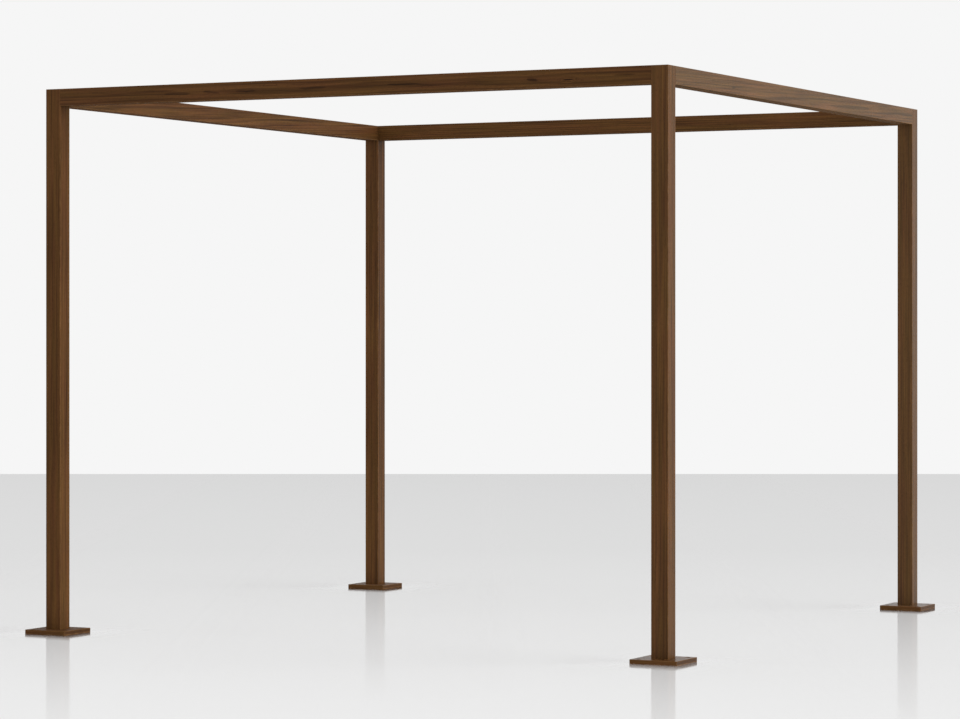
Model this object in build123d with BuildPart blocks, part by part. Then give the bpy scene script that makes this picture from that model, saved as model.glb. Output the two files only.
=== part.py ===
"""Free-standing square pergola: four timber posts on foot plates, tied at the top by four beams.

Millimetres, +Z up. The origin is on the ground at the middle of the plan, with the front towards -Y
and the right-hand side towards +X. Posts and beams are flush with each other on every face, so each
top corner is a table-frame joint: two mitred tenons that meet inside the post.
"""

import os

from build123d import *

# Overall size, over the outer faces of the posts
outer_width = 3000
outer_depth = 3000
overall_height = 2405

# Posts and beams
post_section = 75
beam_height = 75
arris_radius = 2

# Foot plates
plate_side = 207
plate_thickness = 17
plate_arris_radius = 1.5

# Countersunk anchor holes, four to a plate
anchor_hole_diameter = 11
anchor_head_diameter = 21
anchor_head_angle = 90
anchor_edge_distance = 28

# Tenons at the ends of the beams
tenon_thickness = 24
tenon_lower_shoulder = 10
tenon_upper_shoulder = 20
tenon_nose = 2
haunch_lip = 6
haunch_depth = 12

# Tenons at the feet of the posts, which pass through the plates
foot_tenon_side = 36
foot_tenon_recess = 1

# Play between a tenon and its mortise
joint_clearance = 0.3

# Turn from one corner, or side, of the square plan to the next
quarter_turn_angle = 90

# Sizes that follow from the ones above
beam_width = post_section
beam_underside = overall_height - beam_height
post_length = overall_height - plate_thickness
mortise_depth = (post_section + tenon_thickness) / 2
tenon_length = mortise_depth - tenon_nose - joint_clearance
foot_tenon_length = plate_thickness - foot_tenon_recess
anchor_spacing = plate_side - 2 * anchor_edge_distance

# Places of the posts and beams in plan
post_x = (outer_width - post_section) / 2
post_y = (outer_depth - post_section) / 2
clear_width = outer_width - 2 * post_section
clear_depth = outer_depth - 2 * post_section


def tenon_points(length):
    """Corners of a tenon seen from the side, from its shoulder and the beam's underside.

    The slope at the top is a hidden haunch: it stops the beam twisting and leaves the post's top whole.
    """
    tenon_top = beam_height - tenon_upper_shoulder
    haunch_top = beam_height - haunch_lip
    return [
        (0, tenon_lower_shoulder),
        (length, tenon_lower_shoulder),
        (length, tenon_top),
        (haunch_depth, tenon_top),
        (0, haunch_top),
    ]


def tenon_plane(shoulder, direction):
    """Upright plane along a tenon: x points into the post, y up from the beam's underside."""
    into_post = Vector(*direction)
    origin = Vector(*shoulder) + Vector(0, 0, beam_underside)
    return Plane(origin=origin, x_dir=into_post, z_dir=into_post.cross(Vector(0, 0, 1)))


def make_post():
    """The front right post on its own axis, mortised for a beam on its left and one behind it."""
    with BuildPart() as post:
        with BuildSketch(Plane.XY.offset(plate_thickness)):
            Rectangle(post_section, post_section)
        extrude(amount=post_length)
        foot_edges = post.faces().sort_by(Axis.Z)[0].edges()
        fillet(post.edges() - foot_edges, radius=arris_radius)

        # Foot tenon, a little short of the ground so that the plate bears
        with BuildSketch(Plane.XY.offset(plate_thickness)):
            Rectangle(foot_tenon_side, foot_tenon_side)
        extrude(amount=-foot_tenon_length)

        # Two mortises that meet on the post's axis
        for direction in ((1, 0, 0), (0, -1, 0)):
            shoulder = Vector(*direction) * (-post_section / 2)
            with BuildSketch(tenon_plane(shoulder, direction)):
                with BuildLine():
                    Polyline(*tenon_points(mortise_depth), close=True)
                make_face()
                offset(amount=joint_clearance, kind=Kind.INTERSECTION)
            extrude(amount=tenon_thickness / 2 + joint_clearance, both=True, mode=Mode.SUBTRACT)
    return post.part


def make_beam(clear_span):
    """The front beam of a bay that is clear_span wide, centred on x = 0, with its outer face to -Y."""
    with BuildPart() as beam:
        with BuildSketch(Plane.YZ.offset(-clear_span / 2)):
            with Locations((0, beam_underside + beam_height / 2)):
                Rectangle(beam_width, beam_height)
        extrude(amount=clear_span)
        fillet(beam.edges().filter_by(Axis.X), radius=arris_radius)

        # A tenon at each end, mitred on its inner side to clear the tenon of the next beam
        for end in (-1, 1):
            with BuildSketch(tenon_plane((end * clear_span / 2, 0, 0), (end, 0, 0))):
                with BuildLine():
                    Polyline(*tenon_points(tenon_length), close=True)
                make_face()
            extrude(amount=tenon_thickness / 2, both=True)
        tips = beam.edges().filter_by(Axis.Z).group_by(Axis.X)
        inner_tips = [tips[end].sort_by(Axis.Y)[-1] for end in (0, -1)]
        chamfer(inner_tips, length=tenon_thickness - tenon_nose)
    return beam.part


def make_plate():
    """A square foot plate on its own axis, with a through mortise and countersunk anchor holes."""
    mortise_side = foot_tenon_side + 2 * joint_clearance
    with BuildPart() as plate:
        with BuildSketch():
            Rectangle(plate_side, plate_side)
        extrude(amount=plate_thickness)
        ground_edges = plate.faces().sort_by(Axis.Z)[0].edges()
        fillet(plate.edges() - ground_edges, radius=plate_arris_radius)

        with BuildSketch():
            Rectangle(mortise_side, mortise_side)
        extrude(amount=plate_thickness, mode=Mode.SUBTRACT)

        with Locations((0, 0, plate_thickness)):
            with GridLocations(anchor_spacing, anchor_spacing, 2, 2):
                CounterSinkHole(
                    radius=anchor_hole_diameter / 2,
                    counter_sink_radius=anchor_head_diameter / 2,
                    depth=plate_thickness,
                    counter_sink_angle=anchor_head_angle,
                )
    return plate.part


def write(piece, name, x, y, quarter_turns):
    """Turns a piece about the upright axis, sets it in plan and writes it under its name."""
    placed = piece.moved(Location((x, y, 0), (0, 0, quarter_turns * quarter_turn_angle)))
    placed.label = name
    export_step(placed, f"parts/{name}.step")


os.makedirs("parts", exist_ok=True)

# Corners, anticlockwise from the front right: each post is the one before it, turned by a quarter
corners = {
    "front_right": (post_x, -post_y),
    "back_right": (post_x, post_y),
    "back_left": (-post_x, post_y),
    "front_left": (-post_x, -post_y),
}
post = make_post()
plate = make_plate()
for quarter_turns, (corner, (x, y)) in enumerate(corners.items()):
    write(post, f"{corner}_post", x, y, quarter_turns)
    write(plate, f"{corner}_foot_plate", x, y, quarter_turns)

# Sides, anticlockwise from the front: each beam is turned to have its outer face out
sides = {
    "front": (clear_width, 0, -post_y),
    "right": (clear_depth, post_x, 0),
    "back": (clear_width, 0, post_y),
    "left": (clear_depth, -post_x, 0),
}
for quarter_turns, (side, (clear_span, x, y)) in enumerate(sides.items()):
    write(make_beam(clear_span), f"{side}_beam", x, y, quarter_turns)
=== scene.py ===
# %% [markdown]
# # A wooden pergola, dressed for the studio
#
# The pergola is an open frame of four posts and four beams, all of the same square timber, standing on
# four wooden foot plates. Its solids arrive finished from the drawing office: eased edges, mitred
# tenons, countersunk anchor holes. So this lesson is about what makes plain square timber look like
# wood: a figure that runs through the whole stick, so that each face and each end shows a true cut of it.
# Nothing on it is scattered or strung along a path, so no Geometry Nodes are needed.

# %% Load the frame
import math

import bpy
from mathutils import Euler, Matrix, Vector


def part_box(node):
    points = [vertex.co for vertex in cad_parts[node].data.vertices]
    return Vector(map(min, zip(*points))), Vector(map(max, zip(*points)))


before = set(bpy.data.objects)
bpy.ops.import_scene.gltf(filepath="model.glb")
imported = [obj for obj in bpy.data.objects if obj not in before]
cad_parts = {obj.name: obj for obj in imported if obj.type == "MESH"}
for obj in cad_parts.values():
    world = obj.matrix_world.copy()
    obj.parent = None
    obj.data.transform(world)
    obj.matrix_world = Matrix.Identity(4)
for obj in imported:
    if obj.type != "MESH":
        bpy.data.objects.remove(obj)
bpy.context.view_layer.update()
print("pieces:", ", ".join(sorted(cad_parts)))

# %% [markdown]
# ## Two helpers
#
# Colours are written as sRGB hex values, as a paint maker lists them, and shaders want linear numbers,
# so one function turns one into the other. The second adds a node: its properties by name, and its
# inputs either as plain values or as the sockets that feed them.

# %% Helpers
def colour(hex_value):
    """Linear RGBA from an sRGB hex value."""
    channels = [int(hex_value[i:i + 2], 16) / 255 for i in (1, 3, 5)]
    linear = [c / 12.92 if c <= 0.04045 else ((c + 0.055) / 1.055) ** 2.4 for c in channels]
    return (*linear, 1.0)


def add(tree, kind, inputs=None, **settings):
    """Adds one node with its settings, and sets or links its inputs."""
    node = tree.nodes.new(kind)
    for name, value in settings.items():
        setattr(node, name, value)
    for name, value in (inputs or {}).items():
        if isinstance(value, bpy.types.NodeSocket):
            tree.links.new(value, node.inputs[name])
        else:
            node.inputs[name].default_value = value
    return node


print("mid brown in linear light:", [round(c, 3) for c in colour("#563a20")])

# %% [markdown]
# ## Camera
#
# All the uprights of the photograph are parallel, so its camera was level and its film was shifted to
# frame the object. A level camera with a vertical shift gives the same picture: pitching it down
# instead would make the posts lean together.

# %% Camera
photo_width, photo_height = 960, 719
horizon_row = 332.33
sensor_mm = 36.0
lens_mm = 123.239
camera_place = Vector((6.7916, -13.6026, 1.3298))
camera_turn = math.radians(26.892)

camera = bpy.data.objects.new("camera", bpy.data.cameras.new("camera"))
camera.data.sensor_width = sensor_mm
camera.data.lens = lens_mm
camera.data.shift_y = (horizon_row - photo_height / 2) / photo_width
camera.location = camera_place
camera.rotation_euler = (math.pi / 2, 0, camera_turn)
bpy.context.scene.collection.objects.link(camera)
bpy.context.scene.camera = camera
print("camera shift:", round(camera.data.shift_y, 4))

# %% [markdown]
# ## Studio floor
#
# The pergola stands on a pale, satin-polished floor that ends in a straight line behind it. The line's
# row in the photograph says how far away the floor ends. A plane is enough, because all that the floor
# shows is its grey and the posts mirrored in it. Its depth is measured along the floor, from the middle
# of the pergola.

# %% Floor
floor_line_row = 474.0
floor_side_reach = 90.0
floor_front_reach = 75.0

depth_axis = Vector((-math.sin(camera_turn), math.cos(camera_turn), 0))
across_axis = Vector((math.cos(camera_turn), math.sin(camera_turn), 0))
lens_px = lens_mm / sensor_mm * photo_width
line_distance = lens_px * camera_place.z / (floor_line_row - horizon_row)
floor_end = camera_place.dot(depth_axis) + line_distance

corners = []
for edge_depth in (-floor_front_reach, floor_end):
    for edge_side in (-floor_side_reach, floor_side_reach):
        corners.append(depth_axis * edge_depth + across_axis * edge_side)
floor_mesh = bpy.data.meshes.new("studio_floor")
floor_mesh.from_pydata(corners, [], [(0, 1, 3, 2)])
floor = bpy.data.objects.new("studio_floor", floor_mesh)
bpy.context.scene.collection.objects.link(floor)
print("floor ends", round(floor_end, 2), "m behind the middle of the pergola")

# %% [markdown]
# ## Floor finish
#
# Polished screed: a matt grey that deepens towards the floor's end, with a thin skin that shines only at
# a glance, as Fresnel reflection does. The skin's tint is the floor's grey over the wall's, so that a
# mirrored wall is no brighter than the floor.

# %% Floor greys
palest_depth = -3.9
front_grey, end_grey = "#ececec", "#d8d8d8"
greys_between = ((0.19, "#e6e6e6"), (0.45, "#dddddd"))
floor_roughness = 0.08
wall_grey = "#f6f6f6"

floor_finish = bpy.data.materials.new("polished_screed_floor")
floor_finish.use_nodes = True
tree = floor_finish.node_tree
tree.nodes.clear()
place = add(tree, "ShaderNodeTexCoord").outputs["Object"]
depth = add(tree, "ShaderNodeVectorMath", {
    0: place, 1: depth_axis}, operation="DOT_PRODUCT").outputs["Value"]
share = add(tree, "ShaderNodeMapRange", {
    "Value": depth, "From Min": palest_depth, "From Max": floor_end})
greys = add(tree, "ShaderNodeValToRGB", {"Fac": share.outputs["Result"]})
greys.color_ramp.elements[0].color = colour(front_grey)
greys.color_ramp.elements[1].color = colour(end_grey)
for at, grey in greys_between:
    greys.color_ramp.elements.new(at).color = colour(grey)
matt = add(tree, "ShaderNodeBsdfDiffuse", {"Color": greys.outputs["Color"]})
skin_tint = add(tree, "ShaderNodeVectorMath", {
    0: greys.outputs["Color"], 1: colour(wall_grey)[:3]}, operation="DIVIDE")
skin = add(tree, "ShaderNodeBsdfGlossy", {
    "Color": skin_tint.outputs[0], "Roughness": floor_roughness})
print("floor roughness:", floor_roughness)

# %% [markdown]
# ## Floor polish
#
# In the photograph the floor mirrors the edges of the foot plates almost fully, the lower posts at about
# a third, and nothing above knee height. So the floor is polished in two ways. A collar round each plate
# fades steeply from the plate's edge: folding the floor over both of its middle lines makes the four
# plates one. And a straight band runs from each post towards the front of the floor and wears off on the
# way. Polish multiplies the skin's Fresnel share, and all lengths are in metres.

# %% Floor polish
skin_ior = 1.05
edge_polish, edge_reach = 3.4, 0.31
band_half, band_edge = 0.55, 0.2
# Each band: its polish beside the post, and its length
bands = {
    "front_left": (1.12, 4.6),
    "front_right": (1.3, 4.2),
    "back_left": (0.95, 5.4),
    "back_right": (1.22, 5.8),
}

plate_low, plate_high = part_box("back_right_foot_plate")
plate_half = (plate_high.x - plate_low.x) / 2
plate_middle = (plate_high.x - plate_half, plate_high.y - plate_half, 0)
folded = add(tree, "ShaderNodeVectorMath", {0: place}, operation="ABSOLUTE")
from_plate = add(tree, "ShaderNodeVectorMath", {
    0: folded.outputs[0], 1: plate_middle}, operation="SUBTRACT")
both_ways = add(tree, "ShaderNodeVectorMath", {0: from_plate.outputs[0]}, operation="ABSOLUTE")
sides = add(tree, "ShaderNodeSeparateXYZ", {0: both_ways.outputs[0]}).outputs
farther_side = add(tree, "ShaderNodeMath", {0: sides["X"], 1: sides["Y"]}, operation="MAXIMUM")
polish = add(tree, "ShaderNodeMapRange", {
    "Value": farther_side.outputs[0], "From Min": plate_half, "From Max": plate_half + edge_reach,
    "To Min": edge_polish, "To Max": 0.0}).outputs["Result"]
across = add(tree, "ShaderNodeVectorMath", {
    0: place, 1: across_axis}, operation="DOT_PRODUCT").outputs["Value"]
for corner, (band_polish, band_length) in bands.items():
    post_low, post_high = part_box(f"{corner}_post")
    post_middle = (post_low + post_high) / 2
    post_depth, post_across = post_middle.dot(depth_axis), post_middle.dot(across_axis)
    worn_off = add(tree, "ShaderNodeMapRange", {
        "Value": depth, "From Min": post_depth - band_length, "From Max": post_depth,
        "To Max": band_polish})
    off_band = add(tree, "ShaderNodeMath", {0: across, 1: post_across}, operation="SUBTRACT")
    either_side = add(tree, "ShaderNodeMath", {0: off_band.outputs[0]}, operation="ABSOLUTE")
    in_band = add(tree, "ShaderNodeMapRange", {
        "Value": either_side.outputs[0], "From Min": band_half, "From Max": band_half + band_edge,
        "To Min": 1.0, "To Max": 0.0})
    band = add(tree, "ShaderNodeMath", {
        0: worn_off.outputs["Result"], 1: in_band.outputs["Result"]}, operation="MULTIPLY")
    polish = add(tree, "ShaderNodeMath", {
        0: band.outputs[0], 1: polish}, operation="MAXIMUM").outputs[0]
glance = add(tree, "ShaderNodeFresnel", {"IOR": skin_ior})
skin_share = add(tree, "ShaderNodeMath", {
    0: polish, 1: glance.outputs[0]}, operation="MULTIPLY", use_clamp=True)
polished = add(tree, "ShaderNodeMixShader", {
    "Fac": skin_share.outputs[0], 1: matt.outputs["BSDF"], 2: skin.outputs["BSDF"]})
add(tree, "ShaderNodeOutputMaterial", {"Surface": polished.outputs["Shader"]})
floor_mesh.materials.append(floor_finish)
print("floor finish nodes:", len(tree.nodes))

# %% [markdown]
# ## Studio light
#
# Everything behind the floor's line is one pale wall. The camera and mirrors see that wall at its own
# grey, and the wood is lit by a plain white room.

# %% Room
room_light = 0.8
room_white = "#ffffff"

world = bpy.data.worlds.new("studio")
bpy.context.scene.world = world
world.use_nodes = True
tree = world.node_tree
tree.nodes.clear()
wall = add(tree, "ShaderNodeBackground", {"Color": colour(wall_grey), "Strength": 1.0})
room = add(tree, "ShaderNodeBackground", {"Color": colour(room_white), "Strength": room_light})
path = add(tree, "ShaderNodeLightPath")
seen = add(tree, "ShaderNodeMath", {
    0: path.outputs["Is Camera Ray"], 1: path.outputs["Is Glossy Ray"]}, operation="MAXIMUM")
seen_through = add(tree, "ShaderNodeMath", {
    0: seen.outputs[0], 1: path.outputs["Is Transmission Ray"]}, operation="MAXIMUM")
light = add(tree, "ShaderNodeMixShader", {
    "Fac": seen_through.outputs[0], 1: room.outputs[0], 2: wall.outputs[0]})
add(tree, "ShaderNodeOutputWorld", {"Surface": light.outputs["Shader"]})
bpy.context.scene.view_settings.view_transform = "Standard"
print("room light:", room_light)

# %% [markdown]
# ## Side light
#
# In the photograph the right-hand faces are about half as bright again as the front ones, so a wide, low
# light stands far away on the right: a sun lamp with a very large disc, which lights floor and frame
# evenly and throws no hard shadow. Mirrors don't see the lamp, or the floor and the beams' tops would
# flash white to anyone who looks towards it.

# %% Side light
side_light = 3.0
side_disc = math.radians(60)
side_height = math.radians(10)
side_turn = math.radians(10)

lamp = bpy.data.objects.new("side_light", bpy.data.lights.new("side_light", "SUN"))
lamp.data.energy = side_light
lamp.data.angle = side_disc
lamp.visible_glossy = False
towards_lamp = Vector((math.cos(side_height) * math.cos(side_turn),
                       math.cos(side_height) * math.sin(side_turn), math.sin(side_height)))
lamp.rotation_euler = towards_lamp.to_track_quat("Z", "Y").to_euler()
bpy.context.scene.collection.objects.link(lamp)
print("side light stands", round(math.degrees(side_height)), "degrees high")

# %% [markdown]
# ## Walnut, from the inside out
#
# A timber is a straight cut through a tree that didn't grow straight. So its figure is made as a solid:
# rings round a pith, streaks and colour bands drawn out along the grain, and pores as fine dashes. A
# face then shows a long cut of the rings, and an end shows them as arcs, with no seam at an edge. One
# node group holds the recipe, and each piece says where it sat in the tree. All its places are in
# millimetres, measured from the middle of the stick, with the grain along Z.

# %% Figure group
figure = bpy.data.node_groups.new("walnut_figure", "ShaderNodeTree")
for name, kind in (("Place", "Vector"), ("Half Size", "Vector"), ("Grain", "Vector"), ("Pith", "Vector"),
                   ("Slope", "Vector"), ("Heart And Painted Shade", "Vector"), ("Seed", "Float"), ("Bold", "Float"),
                   ("Tone", "Float"), ("Painted Sheen", "Float"), ("Dust", "Float"), ("Satin", "Float"),
                   ("Eye", "Float"), ("Stain", "Float")):
    figure.interface.new_socket(name, in_out="INPUT", socket_type=f"NodeSocket{kind}")
for name, kind in (("Colour", "Color"), ("Roughness", "Float"), ("Height", "Float")):
    figure.interface.new_socket(name, in_out="OUTPUT", socket_type=f"NodeSocket{kind}")
given = add(figure, "NodeGroupInput").outputs
print("figure sockets:", [socket.name for socket in figure.interface.items_tree])

# %% [markdown]
# ## A tree that leans
#
# A slow noise shifts everything sideways by a few millimetres along the stick, and a stick that was
# sawn askew has its grain running off at a slope. The rings, streaks and pores all follow both, so they
# wander together, as fibres do.

# %% Lean
lean_across_mm, lean_along_mm = 110.0, 900.0
lean_mm = 16.0

slow = add(figure, "ShaderNodeVectorMath", {
    0: given["Place"], 1: (1 / lean_across_mm, 1 / lean_across_mm, 1 / lean_along_mm)},
    operation="MULTIPLY")
lean = add(figure, "ShaderNodeTexNoise", {
    "Vector": slow.outputs[0], "W": given["Seed"], "Scale": 1.0, "Detail": 2.0},
    noise_dimensions="4D")
centred = add(figure, "ShaderNodeVectorMath", {
    0: lean.outputs["Color"], 1: (0.5, 0.5, 0.5)}, operation="SUBTRACT")
shift = add(figure, "ShaderNodeVectorMath", {
    0: centred.outputs[0], "Scale": lean_mm}, operation="SCALE")
along = add(figure, "ShaderNodeSeparateXYZ", {0: given["Place"]}).outputs["Z"]
askew = add(figure, "ShaderNodeVectorMath", {
    0: given["Slope"], "Scale": along}, operation="SCALE")
run_off = add(figure, "ShaderNodeVectorMath", {
    0: shift.outputs[0], 1: askew.outputs[0]}, operation="ADD")
fibre = add(figure, "ShaderNodeVectorMath", {
    0: given["Place"], 1: run_off.outputs[0]}, operation="ADD").outputs[0]
print("fibres wander by up to", lean_mm / 2, "mm")

# %% [markdown]
# ## Growth rings
#
# The distance from the pith, over the width of a year's growth, counts the years. A one-dimensional
# noise makes some years wider than others. The fraction of a year is its season: pale early wood that
# darkens slowly to late wood, and then starts anew. An eye is growth round an old bud, which pushes the
# rings outwards and leaves a lens of thin lines on a flat-sawn face.

# %% Rings
ring_mm = 6.5
uneven_years = 1.3
weather_per_year = 0.45
# Through one year: when, and how dark
year_ends = 0.1
year_between = ((0.45, 0.25), (0.8, 0.9), (0.92, 0.8))

from_pith = add(figure, "ShaderNodeVectorMath", {
    0: fibre, 1: given["Pith"]}, operation="SUBTRACT")
across_grain = add(figure, "ShaderNodeVectorMath", {
    0: from_pith.outputs[0], 1: (1, 1, 0)}, operation="MULTIPLY")
radius = add(figure, "ShaderNodeVectorMath", {0: across_grain.outputs[0]}, operation="LENGTH")
years = add(figure, "ShaderNodeMath", {
    0: radius.outputs["Value"], 1: ring_mm}, operation="DIVIDE")
swollen = add(figure, "ShaderNodeMath", {0: years.outputs[0], 1: given["Eye"]}, operation="ADD")
weather = add(figure, "ShaderNodeTexNoise", {
    "W": swollen.outputs[0], "Scale": weather_per_year, "Detail": 2.0}, noise_dimensions="1D")
uneven = add(figure, "ShaderNodeMath", {
    0: weather.outputs["Fac"], 1: uneven_years, 2: swollen.outputs[0]}, operation="MULTIPLY_ADD")
season = add(figure, "ShaderNodeMath", {0: uneven.outputs[0]}, operation="FRACT").outputs[0]
late_wood = add(figure, "ShaderNodeFloatCurve", {"Value": season})
curve = late_wood.mapping.curves[0]
curve.points[0].location = (0.0, year_ends)
curve.points[1].location = (1.0, year_ends)
for at, dark in year_between:
    curve.points.new(at, dark)
late_wood.mapping.update()
print("rings of", ring_mm, "mm")

# %% [markdown]
# ## Streaks, bands and pores
#
# All of these are the same noise, stretched along the grain: only the width and length differ. Real
# pores are a fifth of a millimetre wide, which no picture of a whole pergola can show, so they are drawn
# several times as coarse.

# %% Layers along the grain
layer_roughness = 0.6

layers = {}
for layer, width_mm, length_mm, detail, seed_shift in (
        ("streak", 8.0, 400.0, 4.0, 0.0),
        ("fibre", 3.2, 320.0, 3.0, 7.0),
        ("band", 34.0, 700.0, 2.0, 11.0),
        ("hue", 26.0, 380.0, 2.0, 23.0),
        ("pore", 1.0, 17.0, 1.0, 31.0)):
    stretched = add(figure, "ShaderNodeVectorMath", {
        0: fibre, 1: (1 / width_mm, 1 / width_mm, 1 / length_mm)}, operation="MULTIPLY")
    own_seed = add(figure, "ShaderNodeMath", {0: given["Seed"], 1: seed_shift}, operation="ADD")
    layers[layer] = add(figure, "ShaderNodeTexNoise", {
        "Vector": stretched.outputs[0], "W": own_seed.outputs[0], "Scale": 1.0, "Detail": detail,
        "Roughness": layer_roughness}, noise_dimensions="4D").outputs["Fac"]
print("layers:", ", ".join(layers))

# %% [markdown]
# ## From darkness to brown
#
# The rings and layers add up to one number, how dark the wood is, which a ramp turns to browns. Each
# share is centred on its own mean, so that Bold can strengthen the figure and leave the average brown
# alone. Tone is a stick's own brown. Heart darkens a stick in a straight gradient across or along it:
# on the back beam that is a darker lower half of the figure, and on the posts and the left beam it is
# painted shade, darker under the beams, towards a corner and on sides that get less light. A mineral
# stain follows single fibres, so it is combed by their noise.

# %% Darkness
ring_share, streak_share, fibre_share, band_share = 0.2, 0.52, 0.62, 0.42
ring_mean, noise_mean = 0.36, 0.5
eye_share, stain_least, stain_most = 0.24, 0.18, 0.4
comb_low, comb_high = 0.35, 0.6
palest_brown, darkest_brown = "#7a532e", "#2b1a0d"
browns_between = ((0.3, "#654426"), (0.5, "#573a20"), (0.72, "#432b17"))

rings_shown = add(figure, "ShaderNodeMath", {
    0: given["Eye"], 1: eye_share, 2: ring_share}, operation="MULTIPLY_ADD")
darkness = None
for source, amount, mean in ((late_wood.outputs[0], rings_shown.outputs[0], ring_mean),
                             (layers["streak"], streak_share, noise_mean),
                             (layers["fibre"], fibre_share, noise_mean),
                             (layers["band"], band_share, noise_mean)):
    level = add(figure, "ShaderNodeMath", {0: source, 1: mean}, operation="SUBTRACT")
    darkness = add(figure, "ShaderNodeMath", {
        0: level.outputs[0], 1: amount, 2: darkness or 0.0}, operation="MULTIPLY_ADD").outputs[0]
bold_figure = add(figure, "ShaderNodeMath", {
    0: darkness, 1: given["Bold"], 2: given["Tone"]}, operation="MULTIPLY_ADD")
# Heart: darkness that grows in a straight line across or along the stick, on most sticks painted shade.
to_side = add(figure, "ShaderNodeVectorMath", {
    0: given["Place"], 1: given["Half Size"]}, operation="DIVIDE")
heart_and_shade = add(figure, "ShaderNodeVectorMath", {
    0: to_side.outputs[0], 1: given["Heart And Painted Shade"]}, operation="DOT_PRODUCT")
shaded = add(figure, "ShaderNodeMath", {
    0: bold_figure.outputs[0], 1: heart_and_shade.outputs["Value"]}, operation="ADD")
combed = add(figure, "ShaderNodeMapRange", {
    "Value": layers["fibre"], "From Min": comb_low, "From Max": comb_high,
    "To Min": stain_least, "To Max": stain_most})
stained = add(figure, "ShaderNodeMath", {
    0: given["Stain"], 1: combed.outputs["Result"], 2: shaded.outputs[0]}, operation="MULTIPLY_ADD")
browns = add(figure, "ShaderNodeValToRGB", {"Fac": stained.outputs[0]})
browns.color_ramp.elements[0].color = colour(palest_brown)
browns.color_ramp.elements[1].color = colour(darkest_brown)
for at, brown in browns_between:
    browns.color_ramp.elements.new(at).color = colour(brown)
print("browns:", len(browns.color_ramp.elements))

# %% [markdown]
# ## Tints and painted sheen
#
# Some wood is redder, some more olive. These two tints multiply the browns, so they are factors and not
# colours. Over them goes a painted sheen: a pale grey-brown mixed evenly into a stick, which stands in for
# the greyish sheen of the right-hand sticks.

# %% Tints
olive_tint, red_tint = (1.0, 1.05, 0.86, 1), (1.05, 0.96, 0.95, 1)
hue_low, hue_high = 0.35, 0.65
painted_sheen_brown = "#a69c80"
# The Mix node keeps its two colours and their result under these numbers
first, second, mixed = 6, 7, 2

hue = add(figure, "ShaderNodeMapRange", {
    "Value": layers["hue"], "From Min": hue_low, "From Max": hue_high})
tints = add(figure, "ShaderNodeMix", {
    "Factor": hue.outputs["Result"], first: olive_tint, second: red_tint}, data_type="RGBA")
tinted = add(figure, "ShaderNodeMix", {
    "Factor": 1.0, first: browns.outputs["Color"], second: tints.outputs[mixed]},
    data_type="RGBA", blend_type="MULTIPLY")
# Painted sheen: a pale grey-brown mixed over every face of a stick, as much as Pale says.
painted_sheen_mix = add(figure, "ShaderNodeMix", {
    "Factor": given["Painted Sheen"], first: tinted.outputs[mixed], second: colour(painted_sheen_brown)},
    data_type="RGBA")
print("tints from olive to red, fading to grey-brown")

# %% [markdown]
# ## Pores and end grain
#
# Pores are open in the early wood of each year, fewer in the late wood, and hold dirt. End grain drinks
# more oil and goes darker.

# %% Pores and end grain
pore_low, pore_high = 0.56, 0.66
early_until, late_from, late_pores = 0.2, 0.8, 0.35
pore_dirt, dirt_cover = "#24150b", 0.5
end_low, end_high = 0.7, 0.95
end_brown, end_cover = "#2c1b10", 0.45

open_pore = add(figure, "ShaderNodeMapRange", {
    "Value": layers["pore"], "From Min": pore_low, "From Max": pore_high})
early = add(figure, "ShaderNodeMapRange", {
    "Value": season, "From Min": early_until, "From Max": late_from, "To Min": 1.0,
    "To Max": late_pores})
pores = add(figure, "ShaderNodeMath", {
    0: open_pore.outputs["Result"], 1: early.outputs["Result"]}, operation="MULTIPLY").outputs[0]
dirt = add(figure, "ShaderNodeMath", {0: pores, 1: dirt_cover}, operation="MULTIPLY")
pored = add(figure, "ShaderNodeMix", {
    "Factor": dirt.outputs[0], first: painted_sheen_mix.outputs[mixed], second: colour(pore_dirt)},
    data_type="RGBA")
normal = add(figure, "ShaderNodeNewGeometry").outputs["Normal"]
facing = add(figure, "ShaderNodeVectorMath", {0: normal, 1: given["Grain"]}, operation="DOT_PRODUCT")
square_on = add(figure, "ShaderNodeMath", {0: facing.outputs["Value"]}, operation="ABSOLUTE")
end_grain = add(figure, "ShaderNodeMapRange", {
    "Value": square_on.outputs[0], "From Min": end_low, "From Max": end_high, "To Max": end_cover})
ended = add(figure, "ShaderNodeMix", {
    "Factor": end_grain.outputs["Result"], first: pored.outputs[mixed], second: colour(end_brown)},
    data_type="RGBA")
print("figure nodes so far:", len(figure.nodes))

# %% [markdown]
# ## Dust
#
# Dust settles on what faces the sky and greys it a little: fully where a face is nearly level, and not at
# all where it is steep.

# %% Dust
steep, level_face = 0.6, 0.95
dust_grey = "#aca296"

skyward = add(figure, "ShaderNodeSeparateXYZ", {0: normal}).outputs["Z"]
settled = add(figure, "ShaderNodeMapRange", {
    "Value": skyward, "From Min": steep, "From Max": level_face, "To Max": given["Dust"]})
dusty = add(figure, "ShaderNodeMix", {
    "Factor": settled.outputs["Result"], first: ended.outputs[mixed], second: colour(dust_grey)},
    data_type="RGBA")
print("dust on what faces the sky")

# %% [markdown]
# ## Worn arrises
#
# Along the arrises hands and weather thin the finish, in patches, to a paler and drier brown. The
# distance to the nearest arris is the middle one of the three distances to the faces.

# %% Worn arrises
wear_mm = 4.0
wear_patch_mm = 45.0
patch_low, patch_high = 0.42, 0.68
wear_least, wear_most = 0.1, 0.6
worn_brown = "#87633f"

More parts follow.
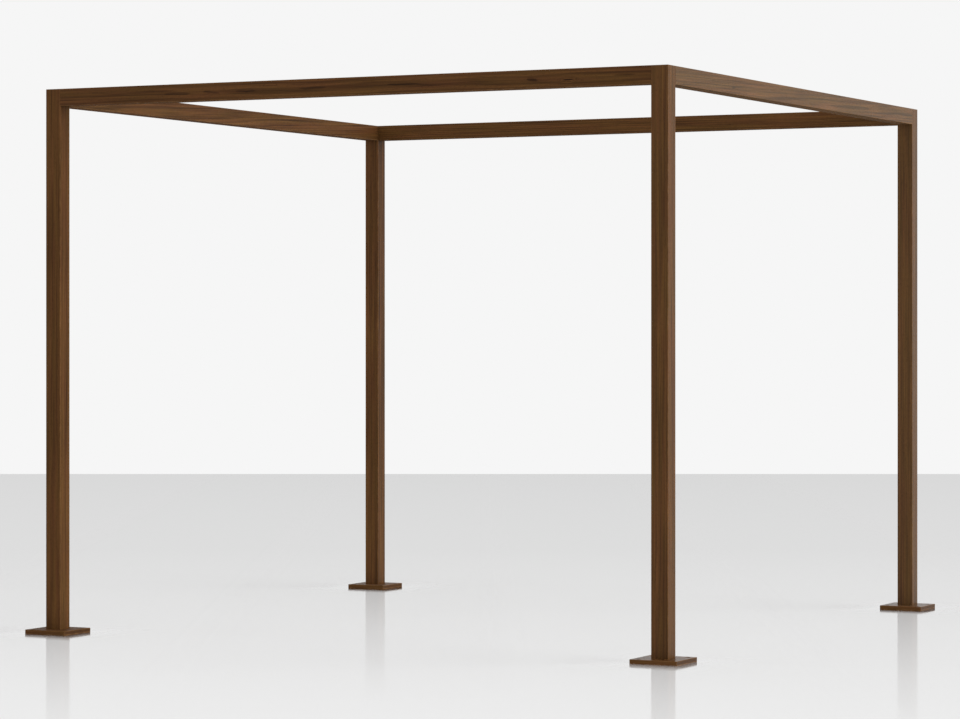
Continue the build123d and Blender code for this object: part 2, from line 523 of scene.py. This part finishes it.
outwards = add(figure, "ShaderNodeVectorMath", {0: given["Place"]}, operation="ABSOLUTE")
inside = add(figure, "ShaderNodeVectorMath", {
    0: given["Half Size"], 1: outwards.outputs[0]}, operation="SUBTRACT")
to_face = add(figure, "ShaderNodeSeparateXYZ", {0: inside.outputs[0]}).outputs
nearer = add(figure, "ShaderNodeMath", {0: to_face["X"], 1: to_face["Y"]}, operation="MINIMUM")
farther = add(figure, "ShaderNodeMath", {0: to_face["X"], 1: to_face["Y"]}, operation="MAXIMUM")
capped = add(figure, "ShaderNodeMath", {0: farther.outputs[0], 1: to_face["Z"]}, operation="MINIMUM")
to_arris = add(figure, "ShaderNodeMath", {
    0: nearer.outputs[0], 1: capped.outputs[0]}, operation="MAXIMUM")
arris = add(figure, "ShaderNodeMapRange", {
    "Value": to_arris.outputs[0], "From Min": 0.0, "From Max": wear_mm, "To Min": 1.0, "To Max": 0.0},
    interpolation_type="SMOOTHSTEP")
patches = add(figure, "ShaderNodeTexNoise", {
    "Vector": given["Place"], "W": given["Seed"], "Scale": 1 / wear_patch_mm, "Detail": 3.0},
    noise_dimensions="4D")
patchy = add(figure, "ShaderNodeMapRange", {
    "Value": patches.outputs["Fac"], "From Min": patch_low, "From Max": patch_high,
    "To Min": wear_least, "To Max": wear_most})
wear = add(figure, "ShaderNodeMath", {
    0: arris.outputs["Result"], 1: patchy.outputs["Result"]}, operation="MULTIPLY").outputs[0]
worn = add(figure, "ShaderNodeMix", {
    "Factor": wear, first: dusty.outputs[mixed], second: colour(worn_brown)}, data_type="RGBA")
print("wear reaches", wear_mm, "mm from an arris")

# %% [markdown]
# ## Sheen and relief
#
# The oil dries to a low satin. It can't fill the pores, which stay duller and a little sunk, and it is
# gone from the worn arrises. Undersides are left as sawn, so they don't shine at all.

# %% Sheen and relief
streak_dulls, pore_dulls, wear_dulls = 0.15, 0.15, 0.25

streaky = add(figure, "ShaderNodeMath", {
    0: layers["streak"], 1: streak_dulls, 2: given["Satin"]}, operation="MULTIPLY_ADD")
dull_pores = add(figure, "ShaderNodeMath", {
    0: pores, 1: pore_dulls, 2: streaky.outputs[0]}, operation="MULTIPLY_ADD")
dull_arris = add(figure, "ShaderNodeMath", {
    0: wear, 1: wear_dulls, 2: dull_pores.outputs[0]}, operation="MULTIPLY_ADD")
underside = add(figure, "ShaderNodeMapRange", {
    "Value": skyward, "From Min": -steep, "From Max": -level_face})
dull = add(figure, "ShaderNodeMath", {
    0: dull_arris.outputs[0], 1: underside.outputs["Result"]}, operation="MAXIMUM")
relief = add(figure, "ShaderNodeMath", {
    0: pores, 1: -1.0, 2: layers["fibre"]}, operation="MULTIPLY_ADD")
add(figure, "NodeGroupOutput", {
    "Colour": worn.outputs[mixed], "Roughness": dull.outputs[0], "Height": relief.outputs[0]})
print("figure nodes:", len(figure.nodes))

# %% [markdown]
# ## A finish for each stick
#
# No two sticks come from the same place in the log, so each piece gets its own material: oiled walnut,
# nearly matt, with the recipe centred on the piece and turned so that the grain runs along it.

# %% Timber finish
mm_per_m = 1000
relief_strength, relief_m = 0.35, 0.0003
oil_ior, oil_specular = 1.45, 0.065
turns = {"X": Euler((0, -math.pi / 2, 0)), "Y": Euler((math.pi / 2, 0, 0)), "Z": Euler((0, 0, 0))}
grain_axes = {"X": Vector((1, 0, 0)), "Y": Vector((0, 1, 0)), "Z": Vector((0, 0, 1))}


def walnut_timber(name, grain, character):
    """Oiled walnut for one piece: grain is the axis that the stick was cut along."""
    low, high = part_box(name)
    to_stick = turns[grain].to_matrix()
    middle_mm = (low + high) / 2 * mm_per_m
    half_mm = to_stick @ (high - low) / 2 * mm_per_m
    material = bpy.data.materials.new(f"oiled_walnut_{name}")
    material.use_nodes = True
    tree = material.node_tree
    tree.nodes.clear()
    place = add(tree, "ShaderNodeTexCoord").outputs["Object"]
    stick = add(tree, "ShaderNodeMapping", {
        "Vector": place, "Scale": [mm_per_m] * 3, "Rotation": turns[grain],
        "Location": to_stick @ -middle_mm})
    wood = add(tree, "ShaderNodeGroup", node_tree=figure)
    tree.links.new(stick.outputs["Vector"], wood.inputs["Place"])
    wood.inputs["Half Size"].default_value = [abs(side) for side in half_mm]
    wood.inputs["Grain"].default_value = grain_axes[grain]
    for socket, value in character.items():
        wood.inputs[socket].default_value = value
    bump = add(tree, "ShaderNodeBump", {
        "Height": wood.outputs["Height"], "Strength": relief_strength, "Distance": relief_m})
    shader = add(tree, "ShaderNodeBsdfPrincipled", {
        "Base Color": wood.outputs["Colour"], "Roughness": wood.outputs["Roughness"],
        "Normal": bump.outputs["Normal"], "IOR": oil_ior, "Specular IOR Level": oil_specular})
    add(tree, "ShaderNodeOutputMaterial", {"Surface": shader.outputs["BSDF"]})
    return material


print("grain can run along", ", ".join(turns))

# %% [markdown]
# ## What each stick is like
#
# Most of a stick's character is the same for all of them. The list then says what is different: where
# its pith lay, in millimetres across the stick, and what the photograph shows of it. The right-hand beam
# is the palest, with the most painted sheen, and grain that climbs towards the back. Heart on the posts
# and the left beam is painted shade. The left plates are dull, and the right ones still shine.

# %% Sticks
usual = {"Slope": (0, 0, 0), "Heart And Painted Shade": (0, 0, 0), "Bold": 1.2, "Tone": 0.5, "Painted Sheen": 0.0, "Dust": 0.06,
         "Satin": 0.22}
plate = {"Bold": 1.0, "Satin": 0.5}
# Pale here is painted sheen; Heart is painted shade on the posts and the left beam, and mostly figure on
# the back beam.
sticks = {
    "front_left_post": ("Z", {"Pith": (150, 45, 0), "Tone": 0.52, "Heart And Painted Shade": (0.01, 0, 0.01), "Satin": 0.5}),
    "front_right_post": ("Z", {"Pith": (-170, -30, 0), "Painted Sheen": 0.01}),
    "back_left_post": ("Z", {"Pith": (140, -60, 0), "Bold": 1.4, "Heart And Painted Shade": (0.1, 0, 0.04)}),
    "back_right_post": ("Z", {"Pith": (-160, 55, 0), "Painted Sheen": 0.032, "Heart And Painted Shade": (0.01, 0, 0), "Satin": 0.14}),
    "front_beam": ("X", {"Pith": (3, 28, 0), "Bold": 1.1, "Tone": 0.53}),
    "right_beam": ("Y", {"Pith": (-45, 25, 0), "Bold": 1.55, "Painted Sheen": 0.06, "Slope": (0, 0.035, 0)}),
    "back_beam": ("X", {"Pith": (-65, 35, 0), "Bold": 1.3, "Tone": 0.53, "Heart And Painted Shade": (0.06, 0, -0.01)}),
    "left_beam": ("Y", {"Pith": (-80, -20, 0), "Tone": 0.53, "Slope": (0, 0.05, 0),
                        "Heart And Painted Shade": (0, 0, 0.05), "Satin": 0.35}),
    "front_left_foot_plate": ("X", {**plate, "Pith": (20, 60, 0), "Dust": 0.0, "Tone": 0.55}),
    "front_right_foot_plate": ("X", {**plate, "Pith": (-25, 75, 0), "Dust": 0.0, "Satin": 0.22}),
    "back_left_foot_plate": ("X", {**plate, "Pith": (10, -65, 0), "Dust": 0.03, "Satin": 0.4}),
    "back_right_foot_plate": ("X", {**plate, "Pith": (-15, 90, 0), "Dust": 0.03, "Satin": 0.2}),
}
for seed, (name, (grain, special)) in enumerate(sticks.items(), start=1):
    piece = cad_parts[name]
    piece.data.materials.clear()
    piece.data.materials.append(walnut_timber(name, grain, {**usual, "Seed": seed, **special}))
print("finished pieces:", len(sticks))

# %% [markdown]
# ## Marks on two beams
#
# The front beam is flat-sawn, with a row of dark mineral stains along its face, an eye of close rings
# near the right-hand end and half of another at its top edge. The right beam has one small stain. A mark
# is a thin streak that starts and ends in a point. One curve along the beam says how high the streaks
# lie and another how tall they are, so a place is inside where it is nearer to the first than the second
# reaches. From its edge inwards a mark grows to full strength. A small noise shifts the heights, so no
# mark has a drawn edge.

# %% Curve along a beam
def curve_along(tree, along, end_level, points):
    """A curve over a beam's length, at end_level at both ends and through the points between."""
    node = add(tree, "ShaderNodeFloatCurve", {"Value": along})
    curve = node.mapping.curves[0]
    for end_point, at in zip(curve.points, (0.0, 1.0)):
        end_point.location = (at, end_level)
    for at, level in points:
        curve.points.new(at, level).handle_type = "AUTO_CLAMPED"
    node.mapping.update()
    return node.outputs[0]


print("curves start as a straight line")

# %% Marks on two beams
line_reach_mm = 20.0
ragged_mm, ragged_width_mm = 7.0, 42.0
halfway = 0.5


def mark_beam(name, axis, marks):
    """Feeds the marks of one beam, whose length lies along axis, to its figure."""
    low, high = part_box(name)
    start, end = low["XYZ".index(axis)], high["XYZ".index(axis)]
    length_mm = (end - start) * mm_per_m
    middle_z = (low.z + high.z) / 2
    line_reach = line_reach_mm / mm_per_m
    ragged_half = ragged_mm / 2 / mm_per_m
    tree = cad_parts[name].data.materials[0].node_tree
    wood = next(node for node in tree.nodes if node.type == "GROUP")
    place = add(tree, "ShaderNodeTexCoord").outputs["Object"]
    beam_place = add(tree, "ShaderNodeSeparateXYZ", {0: place}).outputs
    along = add(tree, "ShaderNodeMapRange", {
        "Value": beam_place[axis], "From Min": start, "From Max": end}).outputs["Result"]
    fibres = add(tree, "ShaderNodeTexNoise", {
        "Vector": place, "Scale": mm_per_m / ragged_width_mm, "Detail": 2.0})
    ragged = add(tree, "ShaderNodeMapRange", {
        "Value": fibres.outputs["Fac"], "To Min": -ragged_half, "To Max": ragged_half})
    ragged_z = add(tree, "ShaderNodeMath", {
        0: beam_place["Z"], 1: ragged.outputs["Result"]}, operation="ADD")
    for socket, (full_mm, strength, streaks) in marks.items():
        points = [point for streak in streaks for point in streak]
        tallest_mm = max(half_height_mm for at_mm, half_height_mm, above_mm in points)
        line_points, outline_points = [], []
        for at_mm, half_height_mm, above_mm in points:
            at = halfway + at_mm / length_mm
            line_points.append((at, halfway + above_mm / line_reach_mm / 2))
            outline_points.append((at, half_height_mm / tallest_mm))
        line = curve_along(tree, along, halfway, line_points)
        outline = curve_along(tree, along, 0.0, outline_points)
        line_z = add(tree, "ShaderNodeMapRange", {
            "Value": line, "To Min": middle_z - line_reach, "To Max": middle_z + line_reach})
        off_line = add(tree, "ShaderNodeMath", {
            0: ragged_z.outputs[0], 1: line_z.outputs["Result"]}, operation="SUBTRACT")
        distance = add(tree, "ShaderNodeMath", {0: off_line.outputs[0]}, operation="ABSOLUTE")
        edge = add(tree, "ShaderNodeMath", {
            0: outline, 1: tallest_mm / mm_per_m}, operation="MULTIPLY")
        from_edge = add(tree, "ShaderNodeMath", {
            0: edge.outputs[0], 1: distance.outputs[0]}, operation="SUBTRACT")
        mark = add(tree, "ShaderNodeMapRange", {
            "Value": from_edge.outputs[0], "From Max": full_mm / mm_per_m, "To Max": strength},
            interpolation_type="SMOOTHSTEP")
        tree.links.new(mark.outputs["Result"], wood.inputs[socket])
        print(name, socket, "marks:", len(streaks))


# Each mark: the depth from its edge to full strength, the strength, and the streaks
# Each point of a streak: where it is along the beam, half its height, and how far above the middle
mark_beam("front_beam", "X", {
    "Stain": (9.0, 1.0, (
        ((-905, 0, -3), (-870, 7, -4), (-770, 7.5, -5), (-738, 0, -5)),
        ((-705, 0, 0), (-665, 8, -2), (-612, 7, -8), (-578, 0, -12)),
        ((-548, 0, -2), (-510, 7, -3), (-440, 7.5, -4), (-412, 0, -4)),
        ((-268, 0, -2), (-200, 5, -2), (-110, 8, -2), (-52, 0, -2)),
        ((190, 0, -1), (245, 8, -1), (320, 8, -1), (375, 5, -5), (440, 5, -10), (530, 0, -12)),
        ((862, 0, 0), (880, 11, -1), (912, 8, -7), (955, 0, -13)),
        ((1015, 0, -8), (1057, 5.5, -8), (1098, 0, -8)),
        ((1100, 0, -12), (1118, 6, -13), (1138, 0, -13)),
        ((1232, 0, 3), (1265, 5, 3), (1325, 7, 3), (1378, 0, 3)))),
    "Eye": (16.0, 2.7, (
        ((-410, 0, 18), (-380, 6, 18), (-350, 9, 18), (-320, 6, 18), (-290, 0, 18)),
        ((995, 0, -7), (1008, 5, -8), (1028, 12, -9), (1057, 16, -8), (1086, 12, -7), (1106, 5, -7),
         (1121, 0, -8)))),
})
mark_beam("right_beam", "Y", {
    "Stain": (5.0, 1.0, (
        ((-845, 0, -11), (-815, 6.5, -10), (-780, 3, -9), (-730, 3.5, -7), (-685, 0, -6)),)),
})
